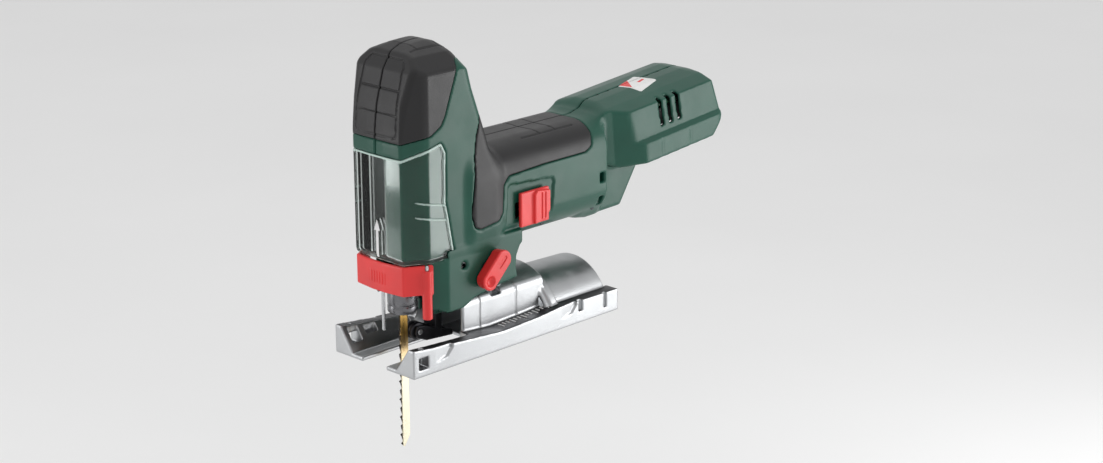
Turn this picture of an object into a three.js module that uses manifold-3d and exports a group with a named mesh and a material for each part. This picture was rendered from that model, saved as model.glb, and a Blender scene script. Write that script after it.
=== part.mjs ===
// Cordless barrel-grip jigsaw, in millimetres, +Z up.
// Inside this file x = 0 is the line of the blade's teeth, +X runs back to the battery end,
// -Y is the tool's left side and z = 0 is the underside of the base plate.
// The exported group is shifted so that its origin is the reference point on the sole.
import * as THREE from "three";
import { mergeVertices } from "three/addons/utils/BufferGeometryUtils.js";
import Module from "manifold-3d";

const wasm = await Module();
wasm.setup();

// ---- driving dimensions ----
const ORIGIN_X = 75; // the sole's reference point, behind the tooth line
const GAP = 0.3; // between neighbouring pieces
const WALL = 2.6; // moulded housing wall
const BODY_HALF = 32; // half width of head and barrel
const BASE = { x0: -22, x1: 173, half: 39, sole: 2.5, notchHalf: 11.7, notchEnd: 56 };
const TUNNEL = { x0: 36, x1: 112, half: 24.5, top: 42.6, wall: 2.8 };
const DUCT = { x1: 168, r0: 35.6, r1: 34, wall: 2.6, flange: 37.6 };
const SADDLE_R = 43.2; // housing underside, concentric with the tilt axis at z = 0
const BARREL = { x0: 40, x1: 170, z0: 69, z1: 138, corner: 21 };
const PLUNGER = { x: 4, r: 5, z0: 50, z1: 180 };
const STROKE = 18;
const MOTOR = { z: 101, r: 21, x0: 70, x1: 134, shaft: 2.5 };
const GEAR = { module: 1, teeth: 45, pinion: 9, x0: 27, x1: 35 };
const GEAR_Z = MOTOR.z + (GEAR.module * (GEAR.teeth + GEAR.pinion)) / 2;
const BLADE = { tip: -65, top: 47, width: 8, thick: 1.3, pitch: 6.4 };
const LEVER = { z0: 51.4, z1: 71.6, wall: 2.6, post: 34.7, hingeX: -0.5, hingeY: -29.8 };
const ROLLER = { x: 14.5, z: 16, r: 6.2, half: 3.6 };
const FORK_PIVOT = { x: 31, z: 30 };
const SELECTOR = { x: 53, z: 58, lean: Math.PI / 4 };
const SWITCH = { x0: 81, x1: 108, z0: 80, z1: 104 };
const BAY = { x: 200, z: 99, slope: (5.4 * Math.PI) / 180, half: 38, length: 90 };

// ---- shape helpers ----
const AXES = {
  x: new THREE.Matrix4().makeBasis(
    new THREE.Vector3(0, 1, 0), new THREE.Vector3(0, 0, 1), new THREE.Vector3(1, 0, 0)),
  y: new THREE.Matrix4().makeBasis(
    new THREE.Vector3(1, 0, 0), new THREE.Vector3(0, 0, 1), new THREE.Vector3(0, -1, 0)),
  z: new THREE.Matrix4(),
};

// An outline drawn in the plane across an axis, pushed along that axis from lo to hi.
// Across x the outline is (y, z), across y it is (x, z) and across z it is (x, y).
function prism(axis, points, lo, hi) {
  const shape = new THREE.Shape(points.map(([a, b]) => new THREE.Vector2(a, b)));
  const geometry = new THREE.ExtrudeGeometry(shape, { depth: hi - lo, bevelEnabled: false });
  geometry.translate(0, 0, axis === "y" ? -hi : lo);
  return geometry.applyMatrix4(AXES[axis]);
}

function box(x0, x1, y0, y1, z0, z1) {
  const geometry = new THREE.BoxGeometry(x1 - x0, y1 - y0, z1 - z0);
  return geometry.translate((x0 + x1) / 2, (y0 + y1) / 2, (z0 + z1) / 2);
}

// A round bar or cone along an axis; a and b are its centre in the plane across that axis.
function rod(axis, r, lo, hi, a, b, sides = 24, rEnd = r) {
  const geometry = new THREE.CylinderGeometry(rEnd, r, hi - lo, sides);
  geometry.rotateX(Math.PI / 2).translate(0, 0, (lo + hi) / 2);
  if (axis === "y") geometry.rotateX(-Math.PI / 2);
  if (axis === "x") geometry.applyMatrix4(AXES.x);
  const place = { x: [0, a, b], y: [a, 0, b], z: [a, b, 0] }[axis];
  return geometry.translate(...place);
}

function solid(shape) {
  if (shape instanceof wasm.Manifold) return shape;
  shape.deleteAttribute("normal");
  shape.deleteAttribute("uv");
  const merged = mergeVertices(shape, 1e-4);
  return new wasm.Manifold(new wasm.Mesh({
    numProp: 3,
    vertProperties: new Float32Array(merged.attributes.position.array),
    triVerts: new Uint32Array(merged.index.array),
  }));
}
const join = (first, ...rest) => rest.reduce((sum, s) => sum.add(solid(s)), solid(first));
const cut = (first, ...rest) => rest.reduce((left, s) => left.subtract(solid(s)), solid(first));
const common = (first, ...rest) => rest.reduce((both, s) => both.intersect(solid(s)), solid(first));

// Points of an arc about (a, b), from one angle to another in degrees.
function arc(a, b, r, from, to, steps) {
  return Array.from({ length: steps + 1 }, (_, i) => {
    const t = THREE.MathUtils.degToRad(from + ((to - from) * i) / steps);
    return [a + r * Math.cos(t), b + r * Math.sin(t)];
  });
}

// Booleans can leave slivers of no volume beside the real body: keep the body.
const largest = (shape) => shape.decompose().reduce((a, b) => (a.volume() > b.volume() ? a : b));

// The outline moved inwards by a wall thickness, for one drawn anticlockwise.
function inset(points, t) {
  const n = points.length;
  return points.map((p, i) => {
    const before = points[(i + n - 1) % n];
    const after = points[(i + 1) % n];
    const normal = (a, b) => {
      const length = Math.hypot(b[0] - a[0], b[1] - a[1]);
      return [-(b[1] - a[1]) / length, (b[0] - a[0]) / length];
    };
    const [u, v] = [normal(before, p), normal(p, after)];
    const k = t / (1 + u[0] * v[0] + u[1] * v[1]);
    return [p[0] + k * (u[0] + v[0]), p[1] + k * (u[1] + v[1])];
  });
}
const mirrored = (points) => [...points, ...points.toReversed().map(([a, b]) => [a, -b])];

// ---- materials ----
const paint = (color, roughness, metalness = 0, extra = {}) =>
  new THREE.MeshStandardMaterial({ color, roughness, metalness, ...extra });
const MATERIALS = {
  shell: paint(0x234b40, 0.45),
  rubber: paint(0x3b393f, 0.8),
  red: paint(0xd22f2c, 0.4),
  clear: paint(0xdfeee8, 0.1, 0, { transparent: true, opacity: 0.35 }),
  castAluminium: paint(0xc9cbce, 0.35, 1),
  steel: paint(0x9a9da1, 0.35, 1),
  darkSteel: paint(0x3a3b3e, 0.5, 1),
  gold: paint(0xc79a3a, 0.35, 1),
  copper: paint(0xb46b3a, 0.4, 1),
  blackPlastic: paint(0x17181a, 0.6),
  board: paint(0x1e5a34, 0.6),
  bronze: paint(0xa9814a, 0.5, 1),
};

const jigsaw = new THREE.Group();
jigsaw.position.x = -ORIGIN_X;
function add(name, shape, material) {
  const mesh = solid(shape).getMesh();
  const geometry = new THREE.BufferGeometry();
  geometry.setAttribute("position", new THREE.BufferAttribute(mesh.vertProperties, 3));
  geometry.setIndex(new THREE.BufferAttribute(mesh.triVerts, 1));
  geometry.computeVertexNormals();
  const node = new THREE.Mesh(geometry, MATERIALS[material].clone());
  node.name = name;
  jigsaw.add(node);
}

// ---- base plate ----
function basePlate() {
  const { x0, x1, half, sole, notchHalf, notchEnd } = BASE;
  const wallTop = [[x1, 15.8], [115, 16.4], [95, 14.6], [60, 13.2], [15, 16.5], [-6, 18.2], [x0, 20]];
  const armSection = [[notchHalf, 0], [half, 0], [half, 20], [34.4, 20], [21.2, 2.3], [notchHalf, 2.3]];
  const outline = prism("y", [[x0, 0], [x1, 0], ...wallTop], -half, half);
  const arms = [-1, 1].map((side) =>
    prism("x", side < 0 ? armSection.map(([y, z]) => [-y, z]).reverse() : armSection, x0, TUNNEL.x0));
  const beams = [-1, 1].map((side) => box(TUNNEL.x0 - 1, x1, Math.min(side * 21, side * half),
    Math.max(side * 21, side * half), 0, 20));
  const floor = box(TUNNEL.x0 - 1, x1, -half, half, 0, sole);
  const skirt = common(outline, join(arms[0], arms[1], ...beams, floor));
  const roof = (inner) => common(
    box(TUNNEL.x0 - inner, TUNNEL.x1, -TUNNEL.half + inner, TUNNEL.half - inner, sole * (inner > 0), 60),
    rod("x", TUNNEL.top - inner, TUNNEL.x0 - inner, TUNNEL.x1, 0, 0, 72));
  const duct = (inner) => common(
    box(TUNNEL.x1 - 2, x1, -half, half, inner > 0 ? sole : 0, 60),
    rod("x", DUCT.r0 - inner, TUNNEL.x1 - 2, DUCT.x1 + (inner > 0 ? 1 : 0), 0, 0, 56, DUCT.r1 - inner));
  const flange = common(box(0, x1, -half, half, 0, 60),
    rod("x", DUCT.flange, TUNNEL.x1 - 1, TUNNEL.x1 + 6, 0, 0, 56));
  const clampHole = rod("z", 3.3, 20, 50, 60, 0, 20);
  const body = join(skirt, roof(0), duct(0), flange);
  const notch = box(x0 - 1, notchEnd, -notchHalf, notchHalf, -1, 10);
  return cut(body, roof(TUNNEL.wall), duct(DUCT.wall), notch, clampHole,
    ...[-1, 1].map((s) => box(-17, -7, s * 37 - 3, s * 37 + 3, 5, 12)),
    ...[-1, 1].map((s) => box(132, 137, s * 38 - 2, s * 38 + 2, 9, 20)),
    ...[-1, 1].map((s) => rod("z", 1.7, 12, 30, -13, s * 36, 14)));
}
add("base_plate", basePlate(), "castAluminium");
add("base_clamp_screw", cut(
  join(rod("z", 3, 33, 42.4, 60, 0, 20), rod("z", 5, 28, 33.2, 60, 0, 20)),
  rod("z", 2.2, 27, 31, 60, 0, 6)), "darkSteel");
add("tilt_saddle", common(
  box(42, 78, -20, 20, 30, 60),
  cut(rod("x", 46.6, 42, 78, 0, 0, 72), rod("x", SADDLE_R, 40, 80, 0, 0, 72))), "castAluminium");

// ---- moulded body ----
const HEAD_PLAN = mirrored([[86, -14], [78, -27], [66, -BODY_HALF], [2.2, -BODY_HALF], [-15.7, -22.9],
  [-17.5, -8]].toReversed());
const HEAD_SIDE = [
  [66, 70], [64, 122], [56, 148], [50, 165], [43.5, 183], [39.5, 198], [34, 209.5], [26, 215.5], [17, 215.5],
  [8, 213.8], [-1, 210], [-8, 199], [-13.9, 178], [-17.5, 157], [-17.5, 76], [-15.5, 72.2],
];
const LEG_PLAN = mirrored([[86, -BODY_HALF], [17, -BODY_HALF], [4, -26]].toReversed());
const LEG_SIDE = [
  [4, 31], [22, 31], [41, 40], [60, 43], [81, 45], [79.5, 52], [80, 60], [83.5, 67], [92, 72], [92, 78], [4, 78],
];
const BAY_SECTION = (t) => inset(mirrored([
  [BAY.half, 0], [BAY.half, 15], [BAY.half - 4.3, 18], [BAY.half - 5.8, 40.5], [22, 45.2], [10, 48.2],
].map(([y, z]) => [z, y])).map(([z, y]) => [y, z]), t);

function barrelSection(t) {
  const [w, lo, hi, r] = [BODY_HALF - t, BARREL.z0 + t, BARREL.z1 - t, BARREL.corner - t];
  return [
    ...arc(w - r, lo + r, r, -90, 0, 5), ...arc(w - r, hi - r, r, 0, 90, 5),
    ...arc(r - w, hi - r, r, 90, 180, 5), ...arc(r - w, lo + r, r, 180, 270, 5),
  ];
}

// The head, without its legs, with its walls moved in by t.
const head = (t) => common(
  prism("z", inset(HEAD_PLAN, t), 60, 230), prism("y", inset(counter(HEAD_SIDE), t), -60, 60));
const legs = (t) => common(
  prism("z", inset(LEG_PLAN, t), 20, 90), prism("y", inset(counter(LEG_SIDE), t), -60, 60));
const barrel = (t) => prism("x", barrelSection(t), BARREL.x0, BARREL.x1 - t);
function counter(points) {
  return THREE.ShapeUtils.area(points.map(([a, b]) => new THREE.Vector2(a, b))) > 0
    ? points : points.toReversed();
}

// Shapes drawn level at the battery end and then leaned back to its slope.
function sloped(geometry) {
  return geometry.rotateY(-BAY.slope).translate(BAY.x, 0, BAY.z);
}
function bay(t) {
  const section = counter(BAY_SECTION(t));
  const side = [[-40, 15], [-12, 0], [76, 0], [BAY.length, 14], [BAY.length - 7, 46], [74, 49.5],
    [-16, 49.5], [-34, 36]];
  return common(sloped(prism("x", section, -60, 120)),
    sloped(prism("y", inset(counter(side), t), -60, 60)));
}
const neck = (t) => prism("y", inset(counter(
  [[150, 70], [160, 67], [196, 68], [213, 94], [216, 120], [150, 132]]), t), -20 + t, 20 - t);

const CAP_REGION = [[-25, 155.5], [-15, 153.5], [4.7, 157.5], [13.3, 162.4], [17, 168.5], [27.4, 196.4],
  [31, 203], [56, 203], [60, 230], [-25, 230]];
const GRIP_REGION = [[37.5, 98], [40, 88.5], [45, 86.3], [62, 88.6], [66.5, 93], [68.5, 112], [73.5, 117],
  [103, 118.5], [147, 119], [153.5, 122], [157, 130], [157, 150], [95, 150], [90, 175], [52, 175], [44, 150]];
const GUARD_REGION = [[-25, 72], [4, 70.5], [24.2, 71.5], [18.5, 102], [16.4, 111.7], [17.2, 144.5],
  [13.3, 152.2], [2, 149.5], [-15, 144], [-25, 146]];
const SKIN = 2.2; // rubber and guard thickness on the head

const region = (points) => prism("y", counter(points), -80, 80);
const skin = (points, body, depth) => cut(common(body(0), region(points)), body(depth));

const gripBody = (t) => join(head(t), barrel(t));
// Everything on one side of the seam, half a seam gap clear of the middle plane.
const halfSpace = (side) => box(-60, 320, side < 0 ? -80 : GAP / 2, side < 0 ? -GAP / 2 : 80, 0, 260);

function housing(side) {
  const outer = join(head(0), legs(0), barrel(0), neck(0), bay(0));
  const inner = join(head(SKIN + WALL), legs(WALL), barrel(SKIN + WALL), neck(WALL), bay(WALL));
  const shell = cut(common(outer, halfSpace(side)), inner,
    skin(CAP_REGION, head, SKIN + GAP), skin(GUARD_REGION, head, SKIN + GAP),
    cut(common(gripBody(0), region(GRIP_REGION)), gripBody(SKIN + GAP)));
  const bayMouth = sloped(box(18, 120, -BAY.half + 4, BAY.half - 4, -5, 12));
  const chamber = join(box(-30, 21, -19, 19, 10, 72.4), box(-12.4, 48, -17, 17, 10, 90));
  const saddle = rod("x", SADDLE_R + 3.8, -30, 100, 0, 0, 72);
  const cheek = join(
    box(25.5, 34.6, side < 0 ? -8.8 : 6.4, side < 0 ? -6.4 : 8.8, 26, 50),
    box(22, 40, side < 0 ? -30 : 0.3, side < 0 ? -0.3 : 30, 47.2, 50.5));
  const vents = [0, 1, 2].map((i) => sloped(box(25 + 9 * i, 29 + 9 * i, side * 36 - 8, side * 36 + 8, 24, 42)));
  const gills = [0, 1, 2].map((i) => box(160, 165, side * 34 - 8, side * 34 + 8, 80 + 11 * i, 85 + 11 * i));
  const slot = box(SWITCH.x0 - 0.6, SWITCH.x0 + 18.6, -40, -20, 85.5, 96.5);
  const selectorHole = rod("y", 5.3, -40, -20, SELECTOR.x, SELECTOR.z, 20);
  let body = join(cut(shell, bayMouth, chamber, saddle), common(cheek, halfSpace(side)));
  body = cut(body, rod("y", 1.9, -20, 20, FORK_PIVOT.x, FORK_PIVOT.z, 14), ...vents, ...gills);
  if (side < 0) body = cut(body, slot, selectorHole);
  const bores = SCREWS.map(([x, z]) => rod("y", side < 0 ? 2 : 4, side < 0 ? -27 : 0, 60, x, z, 14));
  return largest(cut(body, ...bores));
}
const SCREWS = [[33, 64.5], [70, 66], [110, 75.5], [160, 75.5], [34, 182], [160, 124], [205, 122], [270, 128]];

for (const [name, side] of [["left", -1], ["right", 1]]) {
  add("housing_" + name, housing(side), "shell");
  const inside = (points) => inset(counter(points), GAP);
  add("head_cap_" + name, common(skin(inside(CAP_REGION), head, SKIN), halfSpace(side)), "rubber");
  add("handle_grip_" + name, common(
    cut(common(gripBody(0), region(inside(GRIP_REGION))), gripBody(SKIN)), halfSpace(side)), "rubber");
}
add("chip_guard", common(cut(head(0), prism("z", inset(HEAD_PLAN, SKIN), 0, 260)),
  region(inset(counter(GUARD_REGION), GAP))), "clear");

// ---- lever, selector and switch ----
function releaseLever() {
  const outer = mirrored([[3, -33], [-15.2, -22.6], [-17.2, -6]]);
  const ring = cut(prism("z", outer.toReversed(), LEVER.z0, LEVER.z1),
    prism("z", inset(mirrored([[30, -33], [3, -33], [-15.2, -22.6], [-17.2, -6]]).toReversed(), LEVER.wall),
      LEVER.z0 - 1, LEVER.z1 + 1));
  const post = rod("z", 3.3, LEVER.post, LEVER.z1 - 4, LEVER.hingeX, LEVER.hingeY, 20);
  const bore = rod("z", 1.3, LEVER.z0 - 30, LEVER.z1 + 1, LEVER.hingeX, LEVER.hingeY, 14);
  return cut(join(ring, post), bore);
}
add("release_lever", releaseLever(), "red");
add("lever_pin", rod("z", 1.2, LEVER.post - 0.2, LEVER.z1 - 0.1, LEVER.hingeX, LEVER.hingeY, 14), "steel");

function orbitSelector() {
  const outline = [...arc(8, 0, 7.5, -60, 60, 6), ...arc(-8, 0, 7.5, 120, 240, 6)];
  const bar = new THREE.Shape(outline.map(([a, b]) => new THREE.Vector2(a, b)));
  const grip = new THREE.ExtrudeGeometry(bar, { depth: 9, bevelEnabled: false });
  grip.rotateZ(SELECTOR.lean).applyMatrix4(AXES.y).translate(SELECTOR.x, -BODY_HALF - 0.4, SELECTOR.z);
  return grip;
}
add("orbit_selector", orbitSelector(), "red");
add("orbit_shaft", join(
  rod("y", 5, -BODY_HALF - 0.1, -24, SELECTOR.x, SELECTOR.z, 20),
  rod("y", 3, -24.5, -7, SELECTOR.x, SELECTOR.z, 16),
  cut(rod("y", 5.5, -9, -4, SELECTOR.x, SELECTOR.z, 20), box(40, 51, -20, 0, 40, 80))), "steel");

add("switch_slider", join(
  box(SWITCH.x0, SWITCH.x1, -37.2, -BODY_HALF - 0.4, SWITCH.z0, SWITCH.z1),
  box(SWITCH.x0 + 8, SWITCH.x0 + 18, -33, -26.7, 86, 96)), "red");
add("switch_rod", prism("x", counter([[-26.4, 86], [-23.6, 86], [-23.6, 112.5], [-10, 124.5], [-4, 124.5],
  [-4, 127.5], [-11, 127.5], [-26.4, 114]]), SWITCH.x0 + 8, 102.3), "blackPlastic");
add("switch_module", join(box(104, 132, -9, 9, 124.5, 132.5), box(102.6, 104.5, -4, 4, 124.5, 128)),
  "blackPlastic");

// ---- motor ----
const spin = (r, lo, hi, sides = 28, rEnd = r) => rod("x", r, lo, hi, 0, MOTOR.z, sides, rEnd);
add("motor_can", cut(spin(MOTOR.r, MOTOR.x0, MOTOR.x1, 40), spin(MOTOR.r - 1.7, MOTOR.x0 + 2, MOTOR.x1 + 1, 40),
  spin(5, MOTOR.x0 - 1, MOTOR.x0 + 3, 20)), "steel");
add("armature", join(
  spin(MOTOR.shaft, GEAR.x0 - 1, 147), spin(15.5, 80, 108), spin(12, 75, 114, 28, 12)), "copper");
add("commutator", cut(spin(9, 116.5, 126), spin(MOTOR.shaft + 0.1, 110, 130)), "copper");
add("brush_holder", cut(
  join(spin(MOTOR.r, MOTOR.x1 + 0.3, 139, 40), spin(9, 138, 146)),
  spin(6.2, 136.5, 142.3, 24), spin(3.2, 130, 150, 20), spin(14, 130, 136.5, 28)), "blackPlastic");
for (const [name, side] of [["left", -1], ["right", 1]]) {
  add("carbon_brush_" + name, box(118, 124, Math.min(side * 9.4, side * 17), Math.max(side * 9.4, side * 17),
    MOTOR.z - 3, MOTOR.z + 3), "blackPlastic");
}
const bearing = (r, lo, hi) => cut(spin(r, lo, hi), spin(MOTOR.shaft + 0.1, lo - 1, hi + 1));
add("motor_front_bearing", bearing(7.8, 39.5, 44.5), "steel");
add("motor_rear_bearing", bearing(6, 137, 142), "steel");
add("cooling_fan", cut(
  join(spin(5, 52, 66), spin(19.5, 62.5, 64.5, 40), ...Array.from({ length: 9 }, (_, i) =>
    box(53.5, 63, -0.8, 0.8, 4, 19).rotateX((i * 2 * Math.PI) / 9).translate(0, 0, MOTOR.z))),
  spin(MOTOR.shaft + 0.1, 40, 80)), "blackPlastic");

// ---- gears: involute flanks, with long pinion teeth so that the large gear never undercuts them ----
function gearOutline(teeth, addendum, dedendum, backlash, turn) {
  const pitch = (GEAR.module * teeth) / 2;
  const base = pitch * Math.cos(THREE.MathUtils.degToRad(20));
  const [tip, root] = [pitch + addendum, pitch - dedendum];
  const involute = (r) => {
    const a = Math.acos(Math.min(1, base / r));
    return Math.tan(a) - a;
  };
  const half = Math.PI / 2 / teeth - backlash / pitch / 2 + involute(pitch);
  const start = Math.max(base, root);
  const flank = [root, ...[0.05, 0.5, 1].map((k) => start + k * (tip - start))];
  const points = [];
  for (let tooth = 0; tooth < teeth; tooth++) {
    const middle = turn + (tooth * 2 * Math.PI) / teeth;
    const at = (r, side) => {
      const t = middle + side * (half - involute(Math.max(r, base)));
      return [r * Math.cos(t), r * Math.sin(t)];
    };
    points.push(...flank.map((r) => at(r, -1)), ...flank.toReversed().map((r) => at(r, 1)));
  }
  return points;
}
const up = Math.PI / 2;
const toothed = (outline, z) => prism("x", outline, GEAR.x0, GEAR.x1).translate(0, 0, z);
const pinionTeeth = gearOutline(GEAR.pinion, 0.95, 0.8, 0.2, up);
const gearTeeth = gearOutline(GEAR.teeth, 0.5, 1.25, 0.2, up);
const bore = (z, r) => rod("x", r, 0, 80, 0, z, 24);
add("motor_pinion", cut(toothed(pinionTeeth, MOTOR.z), bore(MOTOR.z, MOTOR.shaft + 0.1)), "steel");
add("drive_gear", cut(toothed(gearTeeth, GEAR_Z), bore(GEAR_Z, 4.1),
  rod("x", 3.1, 0, 80, STROKE / 2, GEAR_Z, 20)), "steel");
add("gear_shaft", rod("x", 4, GEAR.x0 - 0.5, 52, 0, GEAR_Z, 24), "steel");
add("gear_bearing", cut(rod("x", 8.8, 39.5, 44.5, 0, GEAR_Z, 28), bore(GEAR_Z, 4.1)), "steel");
add("crank_pin", rod("x", 3, 15.8, GEAR.x1 - 0.5, STROKE / 2, GEAR_Z, 20), "steel");

// ---- gearbox frame, plunger and counterweight ----
const bush = (r, lo, hi) => rod("z", r, lo, hi, PLUNGER.x, 0, 24);
add("gearbox_frame", cut(
  join(box(38, 46, -25, 25, 78, 148), box(36, 41, -14, 14, 140, 170), box(-5, 40, -9, 9, 160, 170),
    box(-5, 46, -9, 9, 76, 86)),
  bush(7.8, 70, 190), rod("x", 8, 30, 60, 0, MOTOR.z, 28), rod("x", 9, 30, 60, 0, GEAR_Z, 28)), "castAluminium");
for (const [name, z0] of [["upper", 160], ["lower", 76]]) {
  add("plunger_bush_" + name, cut(bush(7.5, z0, z0 + 10), bush(PLUNGER.r + 0.1, 0, 200)), "bronze");
}
add("plunger_rod", bush(PLUNGER.r, PLUNGER.z0, PLUNGER.z1), "steel");
add("plunger_yoke", cut(
  box(-3, 15, -20, 20, GEAR_Z - 9, GEAR_Z + 9), bush(PLUNGER.r + 0.1, 100, 160),
  box(11, 16, -16, 16, GEAR_Z - 3.4, GEAR_Z + 3.4)), "steel");
add("counterweight", cut(box(17, 24.5, -26, 26, 97.5, 156), box(16, 26, -15, 15, 105, 160)), "steel");

// ---- blade clamp, blade and roller guide ----
add("blade_clamp", cut(bush(6.8, 33, 62), bush(PLUNGER.r + 0.2, PLUNGER.z0 - GAP, 70),
  box(-2.6, 10.6, -0.95, 0.95, 30, BLADE.top + 1.5)), "steel");
add("clamp_sleeve", cut(bush(10, 31.7, 50), bush(7.1, 30, 60)), "darkSteel");
function bladeOutline() {
  const teeth = [];
  for (let z = BLADE.tip + 3; z < 20; z += BLADE.pitch) {
    teeth.push([0, z], [1.5, z + 1.3], [0.5, z + BLADE.pitch - 1.1]);
  }
  return [[3, BLADE.tip], ...teeth, [0.8, 24], [0.8, 40.5], [-2, 41.5], [-2, 45],
    [1.5, BLADE.top], [6.5, BLADE.top], [10, 45], [10, 41.5], [BLADE.width - 0.8, 40.5], [BLADE.width, 24],
    [BLADE.width, BLADE.tip + 8]];
}
add("blade", prism("y", counter(bladeOutline()), -BLADE.thick / 2, BLADE.thick / 2), "gold");
add("guide_roller", cut(rod("y", ROLLER.r, -ROLLER.half, ROLLER.half, ROLLER.x, ROLLER.z, 32),
  rod("y", 2.05, -10, 10, ROLLER.x, ROLLER.z, 20),
  box(0, ROLLER.x - 5.2, -0.9, 0.9, 0, 40)), "darkSteel");
add("roller_pin", rod("y", 2, -6.3, 6.3, ROLLER.x, ROLLER.z, 20), "steel");
function rollerFork() {
  const side = [[10.5, 16], [12, 12], [20, 8.5], [44, 6.6], [44, 10.5], [34, 13.5], [34, 33], [28, 33],
    [28, 16], [18, 19.5], [12, 20.3]];
  const arms = [-1, 1].map((s) => prism("y", counter(side), s < 0 ? -6 : 4, s < 0 ? -4 : 6));
  const bridge = box(28, 34, -5, 5, 16, 33);
  return cut(join(...arms, bridge, box(30, 44, -5, 5, 7.6, 9.6)),
    rod("y", 2.1, -20, 20, ROLLER.x, ROLLER.z, 20), rod("y", 1.7, -20, 20, FORK_PIVOT.x, FORK_PIVOT.z, 14));
}
add("roller_fork", rollerFork(), "darkSteel");
add("fork_pin", rod("y", 1.6, -8.9, 8.9, FORK_PIVOT.x, FORK_PIVOT.z, 14), "steel");
add("touch_guard", rod("z", 1.25, 22.9, 69.6, -12.6, 0, 14), "steel");

// ---- battery end ----
add("terminal_block", sloped(box(28, 62, -22, 22, 18, 30)), "blackPlastic");
add("control_board", sloped(box(12, 76, -24, 24, 33, 34.6)), "board");

// ---- housing screws ----
SCREWS.forEach(([x, z], i) => {
  const wall = x > BAY.x - 5 ? 32.5 : BODY_HALF;
  add("housing_screw_" + (i + 1), cut(
    join(rod("y", 3.6, wall - 3.6, wall - 1, x, z, 14), rod("y", 1.7, 6 - wall, wall - 3, x, z, 10)),
    rod("y", 1.4, wall - 2.6, wall, x, z, 6)), "darkSteel");
});
export default jigsaw;
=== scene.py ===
import math
import bpy
import bmesh
import numpy as np
from mathutils import Matrix, Vector


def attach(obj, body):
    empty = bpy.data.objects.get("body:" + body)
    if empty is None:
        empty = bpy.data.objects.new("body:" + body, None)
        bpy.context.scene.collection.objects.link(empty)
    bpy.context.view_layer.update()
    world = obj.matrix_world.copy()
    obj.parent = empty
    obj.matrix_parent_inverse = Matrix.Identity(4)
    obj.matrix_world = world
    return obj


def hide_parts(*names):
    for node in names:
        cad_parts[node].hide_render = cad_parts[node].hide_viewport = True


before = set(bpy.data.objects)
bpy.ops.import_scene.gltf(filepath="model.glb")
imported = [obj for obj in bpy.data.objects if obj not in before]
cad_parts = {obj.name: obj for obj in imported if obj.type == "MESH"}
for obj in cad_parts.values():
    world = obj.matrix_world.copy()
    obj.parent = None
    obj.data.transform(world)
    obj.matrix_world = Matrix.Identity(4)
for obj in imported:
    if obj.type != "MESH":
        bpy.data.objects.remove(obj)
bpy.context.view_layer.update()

# Cordless barrel-grip jigsaw: the visible pieces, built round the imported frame.
# Shapes are drawn in millimetres with x = 0 on the blade's tooth line, +X to the battery end,
# -Y the tool's left side and z = 0 on the sole; ORIGIN_X shifts them into the frame.
ORIGIN_X = 75
COARSE = 1.0
GAP = 0.45  # seam between rubber and shell
WALL = 2.6
SKIN = 2.2
SOLE = 2.5
BODY_HALF = 32
SADDLE_R = 43.2
BAY = {"x": 200, "z": 99, "slope": math.radians(5.4)}
SELECTOR = {"x": 53, "z": 58, "lean": math.radians(45)}
SWITCH = {"x0": 81, "x1": 108, "z0": 80, "z1": 104}
LEVER = {"z0": 51.4, "z1": 71.6, "post": 34.7, "x": -0.5, "y": -29.8}
LEVER_AXIS = (LEVER["x"], LEVER["y"])
PLUNGER_AXIS = (4, 0)  # x and y
WHEEL_AXIS = (14.5, 16)  # x and z
FORK_AXIS = (31, 30)
MOTOR_Z, CRANK_Z = 101, 128  # heights of the two horizontal shafts
BATTERY_END = 195  # screws behind this sit in the battery end
BLADE = {"tip": -65, "top": 47, "width": 8, "thick": 1.3, "pitch": 6.4}


# ---- distances to shapes: negative inside, all in mm ----
class Grid:
    """A block of space cut into cells, on which shapes are measured."""

    def __init__(self, low, high, cell):
        self.cell = cell * COARSE
        self.low = np.array(low, float) - 2.5 * self.cell
        count = np.ceil((np.array(high) - self.low) / self.cell).astype(int) + 3
        axes = [self.low[i] + self.cell * np.arange(count[i]) for i in range(3)]
        axes = [a.astype(np.float32) for a in axes]
        self.x = axes[0][:, None, None]
        self.y = axes[1][None, :, None]
        self.z = axes[2][None, None, :]


def both(*shapes):
    """What every shape holds."""
    total = shapes[0]
    for shape in shapes[1:]:
        total = np.maximum(total, shape)
    return total


def either(*shapes):
    total = shapes[0]
    for shape in shapes[1:]:
        total = np.minimum(total, shape)
    return total


def both_round(a, b, r):
    """What both shapes hold, with the edge between them rounded by r."""
    corner = np.hypot(np.maximum(a + r, 0), np.maximum(b + r, 0))
    return np.minimum(np.maximum(a, b), -r) + corner


def either_round(a, b, r):
    """Both shapes, joined by a fillet of radius r."""
    return -both_round(-a, -b, r)


def inset(points, t):
    """An anticlockwise outline moved inwards by t."""
    moved = []
    for i, (px, py) in enumerate(points):
        (ax, ay), (bx, by) = points[i - 1], points[(i + 1) % len(points)]
        la, lb = math.hypot(px - ax, py - ay), math.hypot(bx - px, by - py)
        ux, uy = -(py - ay) / la, (px - ax) / la
        vx, vy = -(by - py) / lb, (bx - px) / lb
        k = t / (1 + ux * vx + uy * vy)
        moved.append((px + k * (ux + vx), py + k * (uy + vy)))
    return moved


def anticlockwise(points):
    area = sum(a[0] * b[1] - b[0] * a[1] for a, b in zip(points, points[1:] + points[:1]))
    return points if area > 0 else points[::-1]


def mirrored(points, flip_a=1, flip_b=-1):
    """An outline completed by its mirror image, with b turned round unless told otherwise."""
    return points + [(flip_a * a, flip_b * b) for a, b in reversed(points)]


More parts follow.
